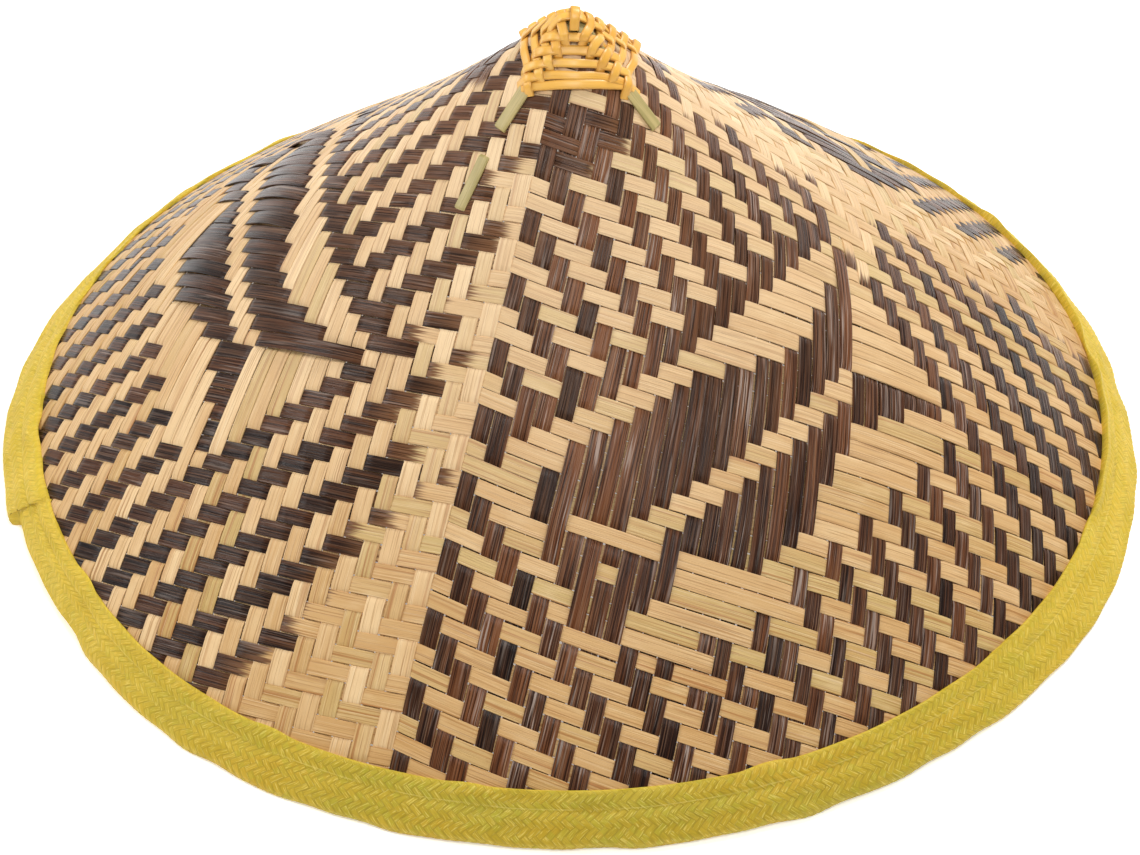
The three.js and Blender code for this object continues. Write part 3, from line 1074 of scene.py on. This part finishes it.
def smoothPath(corners, count=61):
    # a smooth curve through a few points, by cubic steps
    corners = np.array(corners, float)
    knots = np.concatenate(([0], np.cumsum(np.linalg.norm(np.diff(corners, axis=0), axis=1))))
    slopes = np.gradient(corners, knots, axis=0)
    places = np.linspace(0, knots[-1], count)
    k = np.clip(np.searchsorted(knots, places) - 1, 0, len(knots) - 2)
    gap = (knots[k + 1] - knots[k])[:, None]
    t = (places - knots[k])[:, None] / gap
    fromStart = (2 * t - 3) * t * t + 1
    bend = (t - 2) * t * t + t
    return (corners[k] * fromStart + corners[k + 1] * (1 - fromStart)
            + slopes[k] * gap * bend + slopes[k + 1] * gap * (t - 1) * t * t)


def evened(values, count):
    return np.convolve(np.pad(values, count // 2, mode="edge"), np.ones(count) / count, "valid")


def overLeg(plan):
    # one where a leg runs below, nought away from it
    centre = np.array(legs["centre"], float)
    share = np.zeros(len(plan))
    for end in legs["ends"]:
        direction = (np.array(end) - centre) / np.linalg.norm(np.array(end) - centre)
        ahead = (plan - centre) @ direction
        aside = (plan - centre) @ (-direction[1], direction[0])
        near = np.exp(-((aside / legs["caneReach"]) ** 4)) * (ahead > legs["caneBehind"])
        share = np.maximum(share, near)
    return evened(share, 7)


def crossStrips():
    chosen = np.random.default_rng(cane["seed"])
    ends = np.array(legs["ends"], float)
    centre = np.array(legs["centre"], float)
    strips = []
    for layer, (start, stop) in enumerate(((0, 2), (1, 3))):
        t = np.linspace(-1, 1, legs["sections"])
        far = np.where(t[:, None] < 0, ends[start], ends[stop])
        bare = np.where(t < 0, legs["bare"][start], legs["bare"][stop])
        run = np.linalg.norm(far - centre, axis=1)
        reach = 1 + legs["tuck"] / run  # the ends go on under the plait
        plan = centre + (far - centre) * (np.abs(t) * reach)[:, None]
        fromCentre = np.linalg.norm(plan - centre, axis=1)
        lift = np.exp(-((fromCentre / legs["crossingReach"]) ** 4)) * layer * legs["crossing"]
        past = np.clip((fromCentre - run * bare + legs["diveLead"]) / legs["diveOver"], 0, 1)
        standOff = legs["standOff"] + lift - ease(past) * legs["diveDepth"]
        tone = chosen.uniform(0.2, 0.8)
        strips.append(laidStrip(plan, standOff, legs["width"], legs["thickness"], legs["dome"],
                                tone, 40 * layer))
    plan = smoothPath(legs["again"], legs["againSections"])
    steps = np.arange(len(plan))
    inside = np.minimum(steps, steps[::-1]) / steps[-1]
    dive = np.clip(1 - inside / legs["againEnd"], 0, 1) ** 2 * legs["againDepth"]
    strips.append(laidStrip(plan, legs["againStandOff"] - dive, legs["againWidth"],
                            legs["againThickness"], legs["dome"], 0.5, 95))
    made = stripPiece("leg_strips", strips, skinFinish())
    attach(made, "root")
    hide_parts("cross_strip_lower", "cross_strip_upper")


courses = len(cane["frontLeft"])  # the crosser and the knot over them count as one more


def capPaths():
    # plan of each cane: its course, whether it runs up and down the sides, and its points
    paths = []
    ridges = ("frontLeft", "frontRight", "backRight", "backLeft")
    corners = {name: np.array(cane[name], float) for name in ridges}
    tail = np.array([0, cane["tail"]])
    wide = cane["backReach"]
    drop = cane["backDrop"]
    for course in range(courses):
        frontLeft, frontRight, backRight, backLeft = (corners[name][course] for name in corners)
        outer = max(course - 2, 0)
        reachLeft = np.array([corners["backLeft"][outer][0] - wide, backLeft[1] - drop])
        reachRight = np.array([corners["backRight"][outer][0] + wide, backRight[1] - drop])
        bow = {side: bows[course] for side, bows in cane["bows"].items()}
        long = tail * (cane["longTail"] if course == 0 else 1)
        front = (frontLeft + frontRight) / 2 - (0, bow["front"])
        back = (backLeft + backRight) / 2 + (0, bow["back"])
        left = (frontLeft + backLeft) / 2 - (bow["left"], 0)
        right = (frontRight + backRight) / 2 + (bow["right"], 0)
        ends = cane["leftEnds"][course], cane["rightEnds"][course]
        for upright, points in (
            (False, (ends[0], frontLeft, front, frontRight, ends[1])),
            (False, (reachLeft, backLeft, back, backRight, reachRight)),
            (True, (frontLeft - tail, frontLeft, left, backLeft, backLeft + tail)),
            (True, (frontRight - long, frontRight, right, backRight, backRight + tail)),
        ):
            paths.append((course, upright, smoothPath(points)))
    paths.append((courses, False, smoothPath(cane["crosser"])))
    paths.append((courses, True, smoothPath(cane["knot"])))
    return paths


def capCrossings(paths):
    # for each cane the places where it crosses others, and one or minus one for over or under
    marks = [[(0, cane["endLevel"]), (len(path[2]) - 1, cane["endLevel"])] for path in paths]
    for a, (level, upright, first) in enumerate(paths):
        for b, (side, sideUpright, second) in enumerate(paths):
            if upright or not sideUpright or not 0 <= level - side <= 2:
                continue
            apart = np.linalg.norm(first[:, None] - second[None, :], axis=2)
            here, there = np.unravel_index(apart.argmin(), apart.shape)
            if apart[here, there] > cane["touch"]:
                continue
            sideOver = level == side or (level == side + 1 and second[there, 0] > cane["overFrom"])
            marks[a].append((here, -1 if sideOver else 1))
            marks[b].append((there, 1 if sideOver else -1))
    return marks


def caneCap():
    chosen = np.random.default_rng(cane["seed"] + 1)
    paths = capPaths()
    strips = []
    for k, ((course, upright, plan), marks) in enumerate(zip(paths, capCrossings(paths))):
        marks = sorted(marks)
        gaps = [(b[0] + a[0]) / 2 for a, b in zip(marks, marks[1:]) if b[0] - a[0] > cane["longGap"]]
        marks = sorted(marks + [(place, cane["gapLevel"]) for place in gaps])
        steps = np.arange(len(plan))
        level = np.interp(steps, *zip(*marks))
        level = np.convolve(np.pad(level, 2, mode="edge"), (0.1, 0.2, 0.4, 0.2, 0.1), "valid")
        if course == courses and upright:
            knots = np.linspace(0, steps[-1], len(cane["knotLevels"]))
            level = evened(np.interp(steps, knots, cane["knotLevels"]), 13)
        fromPeak = np.linalg.norm(plan - cane["peak"], axis=1)
        peak = np.exp(-((fromPeak / cane["peakReach"]) ** 2)) * cane["peakLift"]
        standOff = cane["standOff"] + cane["overLegs"] * overLeg(plan) + peak + level * cane["rise"]
        width = cane["width"] * (1 + chosen.normal(0, cane["widthSpread"]))
        tone = chosen.uniform(0, 1)
        strips.append(laidStrip(plan, standOff, width, cane["thickness"], cane["dome"], tone, 23 * k))
    made = stripPiece("cane_cap", strips, caneFinish())
    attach(made, "root")
    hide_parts("peak_cap")


# Stage

view = {
    "place": (0, -0.7862, 0.6983),
    "tilt": 48.2,  # degrees between the view and straight down
    "lens": 88.4,
    "sensor": 36,
}

light = {
    "keyPlace": (0.7, 0.85, 1.4),
    "keySize": 0.7,
    "keyPower": 23,
    "fillPlace": (-1.5, 0.2, 1.1),
    "fillSize": 0.8,
    "fillPower": 13,
    "frontPlace": (0.05, -0.42, 1.0),
    "frontSize": 0.45,
    "frontPower": 4.2,
    "horizonStrength": 0.66,
    "skyStrength": 0.25,
    "skyColour": (250, 250, 252),
    "skyClimb": (0.05, 0.5),  # height over the horizon, as a sine, between which it dims
    "floorColour": (251, 251, 250),
    "floorMottle": (226, 225, 222),
    "mottleScale": 3,
    "mottleShare": 0.04,
    "floorSize": 12,
    "floorGlow": 0.38,
}


def floorFinish():
    finish = Finish("plain_floor")
    spot = finish.node("ShaderNodeNewGeometry", None, None, "Position")
    mottle = finish.node("ShaderNodeTexNoise", None, {"Vector": spot, "Scale": light["mottleScale"]})
    shade = paint(light["floorColour"])
    colour = finish.blend(mottle * light["mottleShare"], shade, paint(light["floorMottle"]))
    values = {
        "Base Color": colour,
        "Roughness": 0.9,
        "Specular IOR Level": 0.1,
        "Emission Color": colour,
        "Emission Strength": light["floorGlow"],
    }
    return finish.surface(values)


def sky():
    # bright near the horizon and dimmer overhead
    finish = Finish("sky", bpy.data.worlds.new("sky"))
    direction = finish.node("ShaderNodeTexCoord", None, None, "Generated")
    climb = finish.node("ShaderNodeSeparateXYZ", None, {0: direction}, "Z").ramp(*light["skyClimb"])
    strength = light["horizonStrength"] + climb * (light["skyStrength"] - light["horizonStrength"])
    values = {"Color": paint(light["skyColour"]), "Strength": strength}
    shader = finish.node("ShaderNodeBackground", None, values)
    finish.node("ShaderNodeOutputWorld", None, {"Surface": shader})
    return finish.material


def areaLight(name, place, size, power):
    lamp = bpy.data.lights.new(name, "AREA")
    lamp.shape = "DISK"
    lamp.size = size
    lamp.energy = power
    made = bpy.data.objects.new(name, lamp)
    made.location = place
    aim = -made.location
    made.rotation_euler = aim.to_track_quat("-Z", "Y").to_euler()
    bpy.context.scene.collection.objects.link(made)


def stage():
    camera = bpy.data.objects.new("camera", bpy.data.cameras.new("camera"))
    camera.data.lens = view["lens"]
    camera.data.sensor_width = view["sensor"]
    camera.location = view["place"]
    camera.rotation_euler = (math.radians(view["tilt"]), 0, 0)
    bpy.context.scene.collection.objects.link(camera)
    bpy.context.scene.camera = camera

    half = light["floorSize"] / 2
    corners = [(-half, -half, 0), (half, -half, 0), (half, half, 0), (-half, half, 0)]
    mesh = bpy.data.meshes.new("floor")
    mesh.from_pydata(corners, [], [(0, 1, 2, 3)])
    mesh.materials.append(floorFinish())
    floor = bpy.data.objects.new("floor", mesh)
    bpy.context.scene.collection.objects.link(floor)

    for part in ("key", "fill", "front"):
        areaLight(part, light[part + "Place"], light[part + "Size"], light[part + "Power"])
    bpy.context.scene.view_settings.view_transform = "Standard"
    bpy.context.scene.world = sky()


stage()
print("stage set")
splints()
print("crown plaited")
binding()
print("rim bound")
crossStrips()
caneCap()
print("cap wound")
